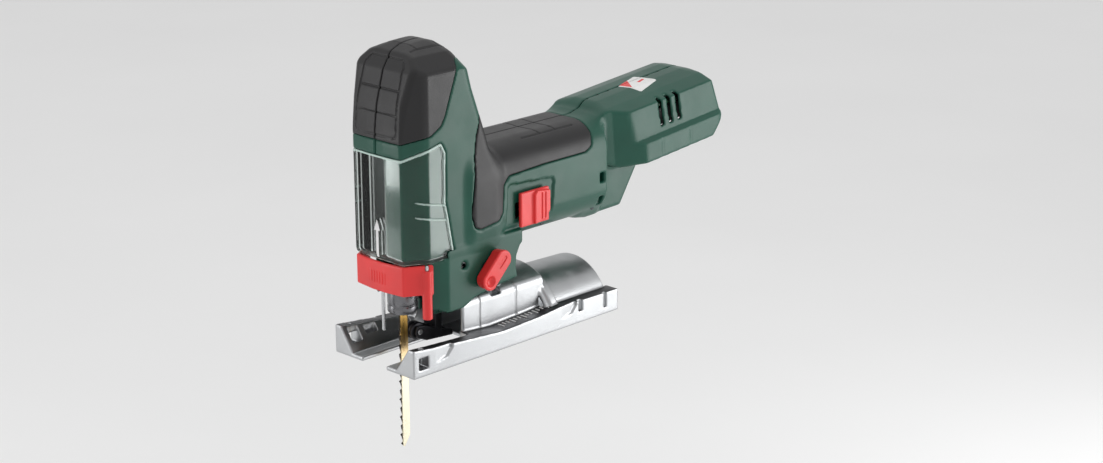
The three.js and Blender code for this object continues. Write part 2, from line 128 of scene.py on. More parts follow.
def outline(a, b, points, r=0.0):
    """Distance in a plane to a closed outline whose outer corners are rounded by r."""
    points = inset(anticlockwise(points), r) if r else points
    nearest, inside = np.float32(np.inf), False
    for (px, py), (qx, qy) in zip(points, points[1:] + points[:1]):
        ex, ey = qx - px, qy - py
        wa, wb = a - px, b - py
        along = np.clip((wa * ex + wb * ey) / (ex * ex + ey * ey), 0, 1)
        nearest = np.minimum(nearest, (wa - ex * along) ** 2 + (wb - ey * along) ** 2)
        if ey:
            inside = inside ^ (((py > b) != (qy > b)) & (wa < wb * (ex / ey)))
    return np.where(inside, -1, 1) * np.sqrt(nearest) - r


def slab(v, low, high):
    return np.abs(v - (low + high) / 2) - (high - low) / 2


def disc(a, b, centre_a, centre_b, r):
    return np.hypot(a - centre_a, b - centre_b) - r


def block(g, x, y, z, r=0.0):
    """A box between pairs of limits, with edges rounded by r."""
    qx, qy, qz = slab(g.x, *x) + r, slab(g.y, *y) + r, slab(g.z, *z) + r
    out = np.sqrt(np.maximum(qx, 0) ** 2 + np.maximum(qy, 0) ** 2 + np.maximum(qz, 0) ** 2)
    return out + np.minimum(np.maximum(np.maximum(qx, qy), qz), 0) - r


def segment(a, b, start, end, r):
    """A straight groove or bar of radius r between two points in a plane."""
    ex, ey = end[0] - start[0], end[1] - start[1]
    wa, wb = a - start[0], b - start[1]
    along = np.clip((wa * ex + wb * ey) / (ex * ex + ey * ey), 0, 1)
    return np.hypot(wa - ex * along, wb - ey * along) - r


# ---- from distances to meshes ----
CORNERS = [(i, j, k) for i in (0, 1) for j in (0, 1) for k in (0, 1)]
EDGES = [(a, b) for a in CORNERS for b in CORNERS
         if sum(b) == sum(a) + 1 and all(q >= p for p, q in zip(a, b))]


def surface(g, field):
    """Points and four-cornered faces of the surface where the field is zero."""
    field = np.ascontiguousarray(field, np.float32)
    inside = field < 0
    size = [n - 1 for n in field.shape]
    cut = np.zeros(size, np.int8)
    for i, j, k in CORNERS:
        cut += inside[i:i + size[0], j:j + size[1], k:k + size[2]]
    active = (cut > 0) & (cut < 8)
    cells = np.argwhere(active)
    number = np.full(size, -1, np.int64)
    number[active] = np.arange(len(cells))
    total = np.zeros((len(cells), 3), np.float32)
    hits = np.zeros((len(cells), 1), np.float32)
    for a, b in EDGES:
        ia, ib = cells + a, cells + b
        fa, fb = field[tuple(ia.T)], field[tuple(ib.T)]
        crossed = (fa < 0) != (fb < 0)
        part = np.where(crossed, fa / np.where(crossed, fa - fb, 1), 0)[:, None]
        total += np.where(crossed[:, None], np.array(a) + part * (np.array(b) - np.array(a)), 0)
        hits += crossed[:, None]
    points = g.low + (cells + total / hits) * g.cell
    faces = []
    for axis in range(3):
        u, v = (axis + 1) % 3, (axis + 2) % 3
        low = [slice(None)] * 3
        high = [slice(None)] * 3
        low[axis], high[axis] = slice(None, -1), slice(1, None)
        for other in (u, v):
            low[other] = high[other] = slice(1, -1)
        first, second = inside[tuple(low)], inside[tuple(high)]
        for outward, turn in ((first & ~second, 1), (~first & second, -1)):
            at = np.argwhere(outward)
            at[:, u] += 1
            at[:, v] += 1
            ring = []
            for du, dv in ((-1, -1), (0, -1), (0, 0), (-1, 0))[::turn]:
                corner = at.copy()
                corner[:, u] += du
                corner[:, v] += dv
                ring.append(number[tuple(corner.T)])
            faces.append(np.stack(ring, axis=1))
    return points, np.concatenate(faces)


def to_frame(points):
    points = np.array(points, float) / 1000
    points[:, 0] -= ORIGIN_X / 1000
    return points


def to_vector(point):
    return Vector(((point[0] - ORIGIN_X) / 1000, point[1] / 1000, point[2] / 1000))


def mesh_object(name, points, faces, material):
    """A Blender object from points in mm and faces of equal size."""
    mesh = bpy.data.meshes.new(name)
    points, faces = to_frame(points), np.asarray(faces)
    sides = faces.shape[1]
    mesh.vertices.add(len(points))
    mesh.vertices.foreach_set("co", points.astype(np.float32).ravel())
    mesh.loops.add(faces.size)
    mesh.loops.foreach_set("vertex_index", faces.astype(np.int32).ravel())
    mesh.polygons.add(len(faces))
    mesh.polygons.foreach_set("loop_start", np.arange(0, faces.size, sides, dtype=np.int32))
    mesh.polygons.foreach_set("use_smooth", np.ones(len(faces), bool))
    mesh.update(calc_edges=True)
    mesh.validate()
    piece = bpy.data.objects.new(name, mesh)
    bpy.context.scene.collection.objects.link(piece)
    mesh.materials.append(material)
    return piece


def keep_largest(points, faces):
    """Drops crumbs: surfaces with under a fortieth of the biggest one's points."""
    parent = np.arange(len(points))
    while True:
        least = parent[faces].min(axis=1)
        new = parent.copy()
        for c in range(4):
            np.minimum.at(new, faces[:, c], least)
        new = new[new]
        if (new == parent).all():
            break
        parent = new
    names, counts = np.unique(parent, return_counts=True)
    kept = np.isin(parent, names[counts > counts.max() / 40])
    renumber = np.cumsum(kept) - 1
    return points[kept], renumber[faces[kept[faces[:, 0]]]]


def sculpt(name, g, field, material, body, nodes, slot, accents=()):
    """Meshes a field and hands the piece to the frame. Each accent is a material and the
    shape whose inside it colours."""
    points, faces = keep_largest(*surface(g, field))
    piece = mesh_object(name, points, faces, material)
    middles = (points[faces].mean(axis=1) - g.low) / g.cell
    nearest = tuple(np.rint(middles).astype(int).T)
    chosen = np.zeros(len(faces), np.int32)
    for number, (look, shape) in enumerate(accents, 1):
        piece.data.materials.append(look)
        chosen[np.broadcast_to(shape, field.shape)[nearest] < 0] = number
    if accents:
        piece.data.polygons.foreach_set("material_index", chosen)
    return place(piece, body, nodes, slot)


def place(piece, body, nodes, slot):
    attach(piece, body)
    if nodes:
        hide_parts(*nodes)
    return piece


# ---- materials ----
class Paint:
    """A procedural material: a principled shader fed by noise in object space."""

    def __init__(self, name, color, roughness, metallic=0.0, coat=0.0, specular=0.5):
        self.material = bpy.data.materials.new(name)
        self.material.use_nodes = True
        self.tree = self.material.node_tree
        self.shader = self.tree.nodes["Principled BSDF"]
        self.color = color
        self.roughness = roughness
        self.shader.inputs["Base Color"].default_value = (*color, 1)
        self.shader.inputs["Roughness"].default_value = roughness
        self.shader.inputs["Metallic"].default_value = metallic
        self.shader.inputs["Coat Weight"].default_value = coat
        self.shader.inputs["Specular IOR Level"].default_value = specular
        self.place = self.node("ShaderNodeTexCoord").outputs["Object"]
        self.height = None

    def node(self, kind, **values):
        made = self.tree.nodes.new(kind)
        for key, value in values.items():
            if key in made.inputs:
                self.feed(made.inputs[key], value)
            else:
                setattr(made, key, value)
        return made

    def feed(self, socket, value):
        if isinstance(value, bpy.types.NodeSocket):
            self.tree.links.new(value, socket)
        else:
            socket.default_value = value

    def noise(self, scale, detail=3.0, stretch=(1, 1, 1)):
        place = self.place
        if stretch != (1, 1, 1):
            place = self.node("ShaderNodeMapping", Vector=place, Scale=stretch).outputs["Vector"]
        made = self.node("ShaderNodeTexNoise", Vector=place, Scale=scale, Detail=detail)
        return made.outputs["Fac"]

    def ramp(self, value, stops):
        made = self.node("ShaderNodeValToRGB", Fac=value)
        for step, (at, color) in zip(made.color_ramp.elements, stops):
            step.position = at
            step.color = (*color, 1)
        return made.outputs["Color"]

    def mix(self, amount, a, b):
        made = self.node("ShaderNodeMix", data_type="RGBA")
        self.feed(made.inputs[0], amount)
        self.feed(made.inputs[6], (*a, 1) if isinstance(a, tuple) else a)
        self.feed(made.inputs[7], (*b, 1) if isinstance(b, tuple) else b)
        return made.outputs[2]

    def span(self, value, low, high, to_low=0.0, to_high=1.0):
        made = self.node("ShaderNodeMapRange", Value=value)
        for key, number in (("From Min", low), ("From Max", high),
                            ("To Min", to_low), ("To Max", to_high)):
            made.inputs[key].default_value = number
        return made.outputs["Result"]

    def along(self, axis, low, high):
        """0 to 1 between two places in mm on an axis of the frame."""
        shift = ORIGIN_X if axis == "X" else 0
        parts = self.node("ShaderNodeSeparateXYZ", Vector=self.place)
        return self.span(parts.outputs[axis], (low - shift) / 1000, (high - shift) / 1000)

    def vary(self, scale, amount, detail=3.0):
        """Mottles the colour by a share of its brightness."""
        darker = tuple(c * (1 - amount) for c in self.color)
        lighter = tuple(min(1, c * (1 + amount)) for c in self.color)
        tint = self.ramp(self.noise(scale, detail), [(0.3, darker), (0.7, lighter)])
        self.feed(self.shader.inputs["Base Color"], tint)

    def uneven(self, scale, amount, stretch=(1, 1, 1)):
        rough = self.span(self.noise(scale, 4, stretch), 0.3, 0.7,
                          self.roughness - amount, self.roughness + amount)
        self.feed(self.shader.inputs["Roughness"], rough)

    def grain(self, scale, depth, detail=2.0, stretch=(1, 1, 1)):
        """Raises the surface by noise of a depth in mm."""
        bump = self.node("ShaderNodeBump", Height=self.noise(scale, detail, stretch),
                         Distance=depth / 1000, Strength=1.0)
        if self.height:
            self.feed(bump.inputs["Normal"], self.height)
        self.height = bump.outputs["Normal"]
        self.feed(self.shader.inputs["Normal"], self.height)

    def worn(self, color, amount=0.5, low=0.53, high=0.62):
        """Lighter, rubbed edges."""
        edge = self.node("ShaderNodeNewGeometry").outputs["Pointiness"]
        patchy = self.node("ShaderNodeMath", operation="MULTIPLY")
        self.feed(patchy.inputs[0], self.span(edge, low, high, 0, amount))
        self.feed(patchy.inputs[1], self.span(self.noise(180, 4), 0.4, 0.6))
        socket = self.shader.inputs["Base Color"]
        base = socket.links[0].from_socket if socket.links else self.color
        self.feed(socket, self.mix(patchy.outputs[0], base, color))


def moulded(name, color, roughness, depth=0.035, coat=0.0, specular=0.5):
    """Fine-textured injection-moulded plastic."""
    paint = Paint(name, color, roughness, coat=coat, specular=specular)
    paint.vary(38, 0.08)
    paint.uneven(55, 0.05)
    paint.grain(1500, depth, 2)
    paint.grain(60, depth / 2, 3)
    return paint


def cast(name, color, roughness, depth=0.06):
    """Die-cast metal: a faint skin of pits and flow marks."""
    paint = Paint(name, color, roughness, metallic=1.0)
    paint.vary(22, 0.06, 5)
    paint.uneven(90, 0.07)
    paint.grain(900, depth, 3)
    return paint


def machined(name, color, roughness, stretch=(1, 1, 1), depth=0.02):
    """Turned or ground metal with fine tool marks along the stretch."""
    paint = Paint(name, color, roughness, metallic=1.0)
    paint.vary(45, 0.07, 4)
    paint.uneven(160, 0.08, stretch)
    paint.grain(700, depth, 3, stretch)
    return paint


SHELL_GREEN = (0.010, 0.074, 0.049)


def shell_paint():
    paint = moulded("shell_green", SHELL_GREEN, 0.33, specular=0.38)
    paint.worn((0.05, 0.16, 0.12), 0.2)
    return paint.material


def rubber_paint():
    paint = moulded("soft_rubber", (0.006, 0.0055, 0.0065), 0.40, 0.07, specular=0.5)
    paint.grain(3200, 0.05, 1)
    return paint.material


def red_paint():
    return moulded("control_red", (0.74, 0.030, 0.030), 0.31).material


def black_paint():
    return moulded("black_plastic", (0.012, 0.012, 0.013), 0.5).material


def clear_paint():
    """Thin clear plastic: see-through face on, glossy at a slant."""
    paint = Paint("clear_polycarbonate", (0.9, 0.95, 0.93), 0.05)
    tree = paint.tree
    see = paint.node("ShaderNodeBsdfTransparent")
    see.inputs["Color"].default_value = (0.93, 0.97, 0.955, 1)
    shine = paint.node("ShaderNodeBsdfGlossy")
    shine.inputs["Roughness"].default_value = 0.06
    split = paint.node("ShaderNodeMixShader")
    paint.feed(split.inputs[0], paint.node("ShaderNodeFresnel", IOR=1.3).outputs[0])
    tree.links.new(see.outputs[0], split.inputs[1])
    tree.links.new(shine.outputs[0], split.inputs[2])
    tree.links.new(split.outputs[0], tree.nodes["Material Output"].inputs["Surface"])
    tree.nodes.remove(paint.shader)
    return paint.material


def edge_highlight_paint():
    """The guard's cut edges, painted pale and frosted: a painted highlight for the light the clear edges
    gather.
    """
    paint = Paint("clear_edge_highlight", (0.62, 0.78, 0.72), 0.22)
    paint.vary(160, 0.10)
    paint.uneven(200, 0.05)
    paint.shader.inputs["Alpha"].default_value = 0.72
    return paint.material


def cast_paint():
    """Bright casting whose upward ledges along the sides are painted dark: painted shade on faces that look
    up.
    """
    paint = cast("cast_aluminium", (0.47, 0.48, 0.49), 0.36)
    parts = paint.node("ShaderNodeSeparateXYZ", Vector=paint.place)
    side = paint.node("ShaderNodeMath", operation="ABSOLUTE")
    paint.feed(side.inputs[0], parts.outputs["Y"])
    ledge = paint.span(side.outputs[0], 0.0245, 0.0252)
    low = paint.span(parts.outputs["Z"], 0.0215, 0.0222, 1, 0)
    facing = paint.node("ShaderNodeSeparateXYZ",
                        Vector=paint.node("ShaderNodeNewGeometry").outputs["Normal"])
    up = paint.span(facing.outputs["Z"], 0.8, 0.9)
    # Ledges along the sides, low down and facing up: painted shade.
    ledge_shade_mask = None
    for part in (ledge, low, up):
        if ledge_shade_mask is None:
            ledge_shade_mask = part
            continue
        product = paint.node("ShaderNodeMath", operation="MULTIPLY")
        paint.feed(product.inputs[0], ledge_shade_mask)
        paint.feed(product.inputs[1], part)
        ledge_shade_mask = product.outputs[0]
    base = paint.shader.inputs["Base Color"].links[0].from_socket
    paint.feed(paint.shader.inputs["Base Color"], paint.mix(ledge_shade_mask, base, (0.09, 0.09, 0.095)))
    return paint.material


def blade_paint():
    """Gold nitride coating that pales towards the tip, with dark gullets."""
    paint = Paint("blade_gold", (0.70, 0.43, 0.12), 0.32, metallic=1.0)
    paint.vary(90, 0.15)
    paint.uneven(300, 0.08, (1, 1, 0.1))
    paint.grain(500, 0.012, 3, (1, 1, 0.08))
    base = paint.shader.inputs["Base Color"].links[0].from_socket
    pale = paint.mix(paint.along("Z", 16, -16), base, (0.93, 0.86, 0.66))
    gullet = paint.along("X", 1.9, 0.9)
    paint.feed(paint.shader.inputs["Base Color"], paint.mix(gullet, pale, (0.05, 0.045, 0.04)))
    return paint.material


MATERIALS = {
    "shell": shell_paint(),
    "rubber": rubber_paint(),
    "red": red_paint(),
    "black": black_paint(),
    "clear": clear_paint(),
    # pale guard edges: painted highlight
    "edge": edge_highlight_paint(),
    # near-black green on the shell's inner faces: painted shade for the dark inside of slots and openings
    "inside": moulded("shell_painted_shade", (0.0015, 0.006, 0.004), 0.6, specular=0.2).material,
    "cast": cast_paint(),
    "saddle": cast("saddle_aluminium", (0.62, 0.63, 0.65), 0.36).material,
    "steel": machined("machined_steel", (0.56, 0.57, 0.58), 0.27).material,
    "turned": machined("turned_steel", (0.60, 0.60, 0.61), 0.24, (1, 1, 9)).material,
    "dark_steel": machined("blackened_steel", (0.05, 0.05, 0.055), 0.42).material,
    "blade": blade_paint(),
    "copper": machined("copper_windings", (0.72, 0.34, 0.17), 0.33).material,
    "bronze": machined("sintered_bronze", (0.48, 0.31, 0.13), 0.5, depth=0.05).material,
    "board": moulded("circuit_board", (0.015, 0.09, 0.035), 0.35).material,
    "gunmetal": machined("gunmetal_steel", (0.20, 0.20, 0.21), 0.3, (1, 1, 9)).material,
    "white": moulded("label_white", (0.78, 0.78, 0.77), 0.45).material,
}


# ---- moulded body ----
HEAD_PLAN = mirrored([(-17.5, 8), (-15.7, 22.9), (2.2, 32), (66, 32), (78, 27), (86, 14)])
HEAD_SIDE = [
    (86, 70), (86, 225), (44, 215.8), (24, 215.5), (16, 215),
    (8, 213.8), (-1, 210), (-8, 199), (-13.9, 178), (-17.5, 157), (-17.5, 76), (-15.5, 72.2)]
HEAD_REAR = [
    (-60, 40), (66, 40), (64, 122), (56, 148), (50, 165), (43.5, 183), (39.5, 198), (34, 210),
    (24, 221), (-60, 240)]
HEAD_FRONT = mirrored([(32, 60), (32, 197), (21, 208.5), (8, 215.5)], -1, 1)
LEG_PLAN = mirrored([(4, 26), (17, 32), (86, 32)])
LEG_SIDE = [
    (4, 31), (22, 31), (41, 40), (60, 43), (81, 45), (79.5, 52), (80, 60), (83.5, 67), (92, 72), (92, 78),
    (4, 78)]
NECK_SIDE = [(150, 70), (160, 67), (196, 68), (213, 94), (216, 120), (150, 132)]
BAY_SECTION = mirrored([(38, 0), (38, 15), (33.7, 18), (32.2, 40.5), (22, 45.2), (10, 48.2)], -1, 1)
BAY_SIDE = [(-40, 15), (-12, 0), (76, 0), (90, 14), (83, 46), (74, 49.5), (-16, 49.5), (-34, 36)]
BAY_PLAN = mirrored([(-42, 19), (-16, 26), (6, 38), (90.5, 38)])
CAP_REGION = [
    (-25, 155.5), (-15, 153.5), (4.7, 157.5), (13.3, 162.4), (17, 168.5), (27.4, 196.4), (31, 203),
    (56, 203), (60, 230), (-25, 230)]
GRIP_REGION = [
    (37.5, 98), (40, 88.5), (45, 86.3), (62, 88.6), (66.5, 93), (68.5, 112), (73.5, 117), (103, 118.5),
    (147, 119), (153.5, 122), (157, 130), (157, 150), (95, 150), (90, 175), (52, 175), (44, 150)]
GUARD_REGION = [
    (-25, 72), (4, 70.5), (24.2, 71.5), (18.5, 102), (16.4, 111.7), (17.2, 144.5), (13.3, 152.2),
    (2, 149.5), (-15, 144), (-25, 146)]
SCREWS = [(33, 64.5), (70, 66), (110, 75.5), (160, 75.5), (34, 182), (160, 124), (205, 122), (270, 128)]


def head(g):
    body = both_round(outline(g.x, g.y, HEAD_PLAN, 2.2), outline(g.x, g.z, HEAD_SIDE, 5), 3.5)
    body = both_round(body, outline(g.y, g.z, HEAD_FRONT, 3), 2.5)
    return both_round(body, outline(g.x, g.z, HEAD_REAR, 5), 7)


def legs(g):
    return both_round(outline(g.x, g.y, LEG_PLAN, 1.5), outline(g.x, g.z, LEG_SIDE, 1.5), 1.2)


def barrel(g):
    corner = 21
    across = np.hypot(np.maximum(slab(g.y, -32, 32) + corner, 0),
                      np.maximum(slab(g.z, 69, 138) + corner, 0)) - corner
    return both_round(across, slab(g.x, 40, 170), 2)


def neck(g):
    return both_round(outline(g.x, g.z, NECK_SIDE, 3), slab(g.y, -20, 20), 3)


def leaned(g):
    """The grid's x and z as measured along the leaning battery end."""
    dx, dz = g.x - BAY["x"], g.z - BAY["z"]
    c, s = math.cos(BAY["slope"]), math.sin(BAY["slope"])
    return c * dx + s * dz, c * dz - s * dx


def bay(g):
    x, z = leaned(g)
    body = both_round(outline(g.y, z, BAY_SECTION, 1.8), outline(x, z, BAY_SIDE, 4), 2.5)
    return both_round(body, outline(x, g.y, BAY_PLAN, 9), 1.5)


def upper(g):
    """Head and barrel, which carry the rubber."""
    return either_round(head(g), barrel(g), 10)


def region(g, points, grow=0.0, r=3.0):
    return outline(g.x, g.z, points, r) - grow


def housing_field(g):
    top, feet, tail, back = upper(g), legs(g), neck(g), bay(g)
    outer = either_round(either_round(top, feet, 2), either_round(tail, back, 3), 6)
    inner = either(top + SKIN + WALL, feet + WALL, tail + WALL, back + WALL)
    carved = [
        both(top, -(top + SKIN + GAP), region(g, CAP_REGION)),
        both(top, -(top + SKIN + GAP), region(g, GRIP_REGION)),
        both(top, -(top + SKIN + GAP), region(g, GUARD_REGION)),
        inner,
        both(slab(g.x, -30, 21), slab(g.y, -19, 19), slab(g.z, 10, 72.4)),
        both(slab(g.x, -12.4, 48), slab(g.y, -17, 17), slab(g.z, 10, 90)),
        disc(g.y, g.z, 0, 0, SADDLE_R + 3.8),
    ]
    x, z = leaned(g)
    carved.append(both(slab(x, 18, 120), slab(g.y, -34, 34), slab(z, -5, 12)))
    side = np.abs(g.y)
    for i in range(3):  # slanted air slots in the battery end
        middle = 27 + 9 * i
        carved.append(both(slab(x + 0.04 * (z - 30), middle - 1.9, middle + 1.9), slab(z, 22, 43),
                           slab(side, 28, 44)))
    for i in range(2):  # square gills where the barrel ends
        carved.append(both(slab(g.x, 162, 166.5), slab(g.z, 77 + 17 * i, 84 + 17 * i),
                           slab(side, 26, 44)))
    for at in (22, 52):  # lines across the skirt
        carved.append(both(slab(x, at - 0.5, at + 0.5), slab(z, -2, 15.5), slab(side, 37.2, 44)))
    carved.append(both(slab(g.z, 84.6, 85.4), slab(g.x, 116, 168), slab(side, 31.3, 40)))
    left = slab(g.y, -60, -20)
    panel = both(outline(g.x, g.z, [(70.5, 78), (113, 78), (116, 108), (72.5, 111)], 3),
                 slab(g.y, -40, -30.8))
    carved.append(panel)
    carved.append(both(slab(g.x, 80.4, 99.6), slab(g.z, 85.5, 96.5), left))
    carved.append(both(disc(g.x, g.z, SELECTOR["x"], SELECTOR["z"], 5.3), left))
    carved.append(both(disc(g.x, g.z, 31.5, 64.6, 2.6), slab(g.y, -40, -30)))
    for sx, sz in SCREWS:
        carved.append(both(disc(g.x, g.z, sx, sz, 4), slab(g.y, 20, 60)))
    body = outer
    for hollow in carved:
        body = np.maximum(body, -hollow)
    for side_y in (-1, 1):
        cheek = both(slab(g.x, 25.5, 34.6), slab(g.y * side_y, 6.4, 8.8), slab(g.z, 26, 50))
        shelf = both(slab(g.x, 22, 40), slab(g.y * side_y, 0.3, 30), slab(g.z, 47.2, 50.5))
        body = either(body, cheek, shelf)
    return np.maximum(body, -both(disc(g.x, g.z, 31, 30, 1.9), slab(g.y, -20, 20))), outer


def halves(piece, node, g, field, gap, ease, look, slot, accents=()):
    """Parts a field on the middle plane into a left and a right piece."""
    for name, side in (("left", 1), ("right", -1)):
        half = both_round(field, g.y * side + gap, ease)
        sculpt(piece + name, g, half, MATERIALS[look], "housing", [node + name], slot, accents)


def housing():
    g = Grid((-18, -38.5, 26), (290, 38.5, 216), 1.0)
    field, outer = housing_field(g)
    # Faces deeper than the outer skin (deeper still under the rubber and guard) get the near-black material:
    # painted shade inside the shell.
    shade_depth = outer + np.where(upper(g) < -1.0, SKIN + 2.0, 1.2)
    halves("housing_shell_", "housing_", g, field, 0.15, 0.5, "shell", "shell",
           [(MATERIALS["inside"], shade_depth)])


def rubber_cap():
    """Two moulded halves with grooves round and across the front and over the top."""
    g = Grid((-18, -32.5, 152), (58, 32.5, 216), 0.6)
    top = head(g)
    cap = both(top, -(top + SKIN), region(g, CAP_REGION, -GAP))
    frame_line = mirrored([(18, 157.5), (19.5, 160), (18, 202), (15, 206)], -1, 1)
    grooves = [both(np.abs(outline(g.y, g.z, frame_line, 2)) - 0.4, slab(g.x, -30, -2))]
    for z in (172, 187.5):
        grooves.append(both(slab(g.z, z - 0.45, z + 0.45), slab(g.y, -19, 19), slab(g.x, -30, -4)))
    for x in (8, 27):
        grooves.append(both(slab(g.x, x - 0.45, x + 0.45), slab(g.y, -15, 15), slab(g.z, 205, 220)))
    grooves.append(both(np.abs(slab(g.y, -15, 15)) - 0.45, slab(g.x, 2, 34), slab(g.z, 203, 220)))
    for groove in grooves:
        cap = np.maximum(cap, -both(groove, -(top + 0.8)))
    halves("rubber_cap_", "head_cap_", g, cap, 0.25, 0.6, "rubber", "soft_grip")


def rubber_grip():
    """The handle's rubber: one half either side of the seam."""
    g = Grid((37, -32.5, 85), (158, 32.5, 176), 0.7)
    top = upper(g)
    grip = both(top, -(top + SKIN), region(g, GRIP_REGION, -GAP))
    grooves = [both(slab(g.x - 0.1 * np.abs(g.y), x - 0.45, x + 0.45), slab(g.y, -19, 19),
                    slab(g.z, 125, 160)) for x in (113, 128)]
    grooves.append(both(np.abs(slab(g.y, -19, 19)) - 0.45, slab(g.x, 97, 147), slab(g.z, 120, 160)))
    for groove in grooves:
        grip = np.maximum(grip, -both(groove, -(top + 0.8)))
    halves("rubber_grip_", "handle_grip_", g, grip, 0.25, 0.6, "rubber", "soft_grip")


def guard():
    """Clear chip guard: a wrapped pane with two steps and a sight arrow, its border and steps painted pale as
    a painted highlight.
    """
    g = Grid((-18, -32.5, 70), (25, 32.5, 153), 0.6)
    top = head(g)
    inside = region(g, GUARD_REGION, -0.5, 2)
    pane = both_round(both(top, -(top + SKIN - 0.3), slab(g.x, -30, 26)), inside, 0.4)
    arrow = either(both(slab(g.y, -0.8, 0.8), slab(g.z, 75, 96)),
                   outline(g.y, g.z, [(-2.6, 93), (2.6, 93), (0, 100)], 0))
    pane = np.maximum(pane, -both(arrow, -(top + 0.6), slab(g.x, -30, -5)))
    for z in (100.5, 110.5):
        rib = both(slab(g.z + 0.22 * g.x, z + 2, z + 2.7), slab(g.x, -6, 17), np.abs(g.y) * -1 + 20)
        pane = np.maximum(pane, -both(rib, -(top + 0.7)))
    steps = either(*[both(slab(g.z + 0.22 * g.x, z + 1.9, z + 2.8), slab(g.x, -6, 17),
                          20 - np.abs(g.y)) for z in (100.5, 110.5)])
    # Band round the pane's border and the step faces: painted highlight in the pale edge material.
    rim = either(-(inside + 1.3), steps)
    filled = both(arrow - 0.2, -(top + 0.9), slab(g.x, -30, -5))
    sculpt("chip_guard_pane", g, pane, MATERIALS["clear"], "housing", ["chip_guard"], "clear_guard",
           [(MATERIALS["edge"], rim), (MATERIALS["white"], filled)])


def label():
    """Plain rating label with a coloured corner, stuck on the battery end."""
    g = Grid((208, -24, 143), (246, 12, 154), 0.35)
    turn = math.radians(14)
    u = (g.x - 227) * math.cos(turn) + (g.y + 6.5) * math.sin(turn)
    v = (g.y + 6.5) * math.cos(turn) - (g.x - 227) * math.sin(turn)
    shape = outline(u, v, [(-12, -9.5), (12, -9.5), (12, 9.5), (-12, 9.5)], 1.5)
    film = both(bay(g) - 0.22, -(bay(g) + 0.3), shape)
    film = np.maximum(film, 0.15 - np.abs(g.y))
    corner = both(outline(u, v, [(-12, -3), (2, 9.5), (-12, 9.5)]), slab(u, -10.5, 20))
    band = both(slab(v, -1.2, 1.2), slab(u, 1, 9))
    sculpt("rating_label", g, film, MATERIALS["white"], "housing", [], "shell",
           [(MATERIALS["red"], either(corner, band))])


housing()
label()
rubber_cap()
rubber_grip()
guard()


# ---- base plate ----
def base_field(g):
    side = np.abs(g.y)
    wall_top = np.interp(g.x.ravel(), [-22, -6, 15, 60, 95, 115, 173],
                         [20, 18.2, 16.5, 13.2, 14.6, 16.4, 15.8]).astype(np.float32)[:, None, None]
    tall = both_round(slab(g.x, -22, 173), both(-g.z, g.z - wall_top), 0.8)
    arm = outline(side, g.z, [(11.7, 0), (39, 0), (39, 21), (34.4, 21), (21.2, 2.3), (11.7, 2.3)], 0.6)
    arms = both(arm, slab(g.x, -30, 40))
    sill = both(outline(side, g.z, [(11.7, 0), (39, 0), (39, 3), (11.7, 3)], 0.6), slab(g.x, -30, 40))
    beams = both(slab(side, 22, 39) + 0.6, slab(g.z, -1, 21) + 0.6, slab(g.x, 35.4, 180)) - 0.6
    floor = both(side - 39, slab(g.x, 35, 173), slab(g.z, 0, SOLE))
    skirt = both_round(tall, either(arms, beams, floor, sill), 0.7)
    tunnel = both_round(both_round(side - 24.5, np.hypot(g.y, g.z) - 42.6, 2.5), slab(g.x, 36, 113), 1.2)
    radius = np.interp(g.x.ravel(), [110, 168], [35.6, 34]).astype(np.float32)[:, None, None]
    duct = both_round(np.hypot(g.y, g.z) - radius, slab(g.x, 108, 168), 1)
    flange = both_round(np.hypot(g.y, g.z) - 37.4, slab(g.x, 111, 118), 1.2)
    body = either_round(skirt, either_round(either_round(tunnel, duct, 1.5), flange, 1.0), 1.5)
    body = np.maximum(body, -g.z)
    hollow = both(side - 21.7, np.hypot(g.y, g.z) - 39.8, slab(g.x, 33, 110), g.z * -1 + SOLE)
    pipe = both(np.hypot(g.y, g.z) - (radius - 2.6), slab(g.x, 108, 180), g.z * -1 + SOLE)
    cuts = [hollow, pipe, both(slab(g.x, -30, 56), side - 11.7, slab(g.z, -2, 10)),
            disc(g.x, g.y, 60, 0, 3.3)]
    window = both(slab(g.x, -17, -8.5) + 0.6, slab(g.z, 5.2, 13.4) + 0.6, slab(side, 33, 45)) - 0.6
    cuts.append(window)
    for at in (0, 118):  # facets in the outer walls
        facet = outline(g.x, g.z, [(at - 3, 7), (at + 8, 9), (at + 13, 14), (at + 13, 30), (at - 3, 30)], 0.8)
        cuts.append(both(facet, 38.7 - 0.13 * (g.x - at) - side))
    for start, end, near, far, deep in ((-17.5, -9.5, 26, 32, 6), (-4, 6, 27.5, 31.5, 8)):
        pocket = both(slab(g.x, start, end) + 0.5, slab(side, near, far) + 0.5) - 0.5
        cuts.append(both(pocket, deep - g.z))
    cuts.append(both(slab(g.x, 158.4, 161), slab(g.z, 5, 30), slab(side, 36.8, 45)))
    cuts.append(both(slab(g.x, 133, 137), slab(g.z, 8.5, 30), slab(side, 36.2, 45)))
    for at in (52, 86):  # rings scored round the tunnel
        cuts.append(both(slab(g.x, at - 0.45, at + 0.45), -(body + 0.7), g.z * -1 + 14, slab(g.x, 30, 108)))
    cuts.append(both(slab(g.x, 63, 72), slab(side, 14.5, 30), slab(g.z, 33.5, 50)))
    cuts.append(both(disc(g.x, side, -13, 36, 1.7), g.z * -1 + 12))
    for cut in cuts:
        body = np.maximum(body, -cut)
    return body


def base():
    g = Grid((-22, -39, 0), (173, 39, 43), 0.75)
    sculpt("base_casting", g, base_field(g), MATERIALS["cast"], "base", ["base_plate"], "cast_metal")


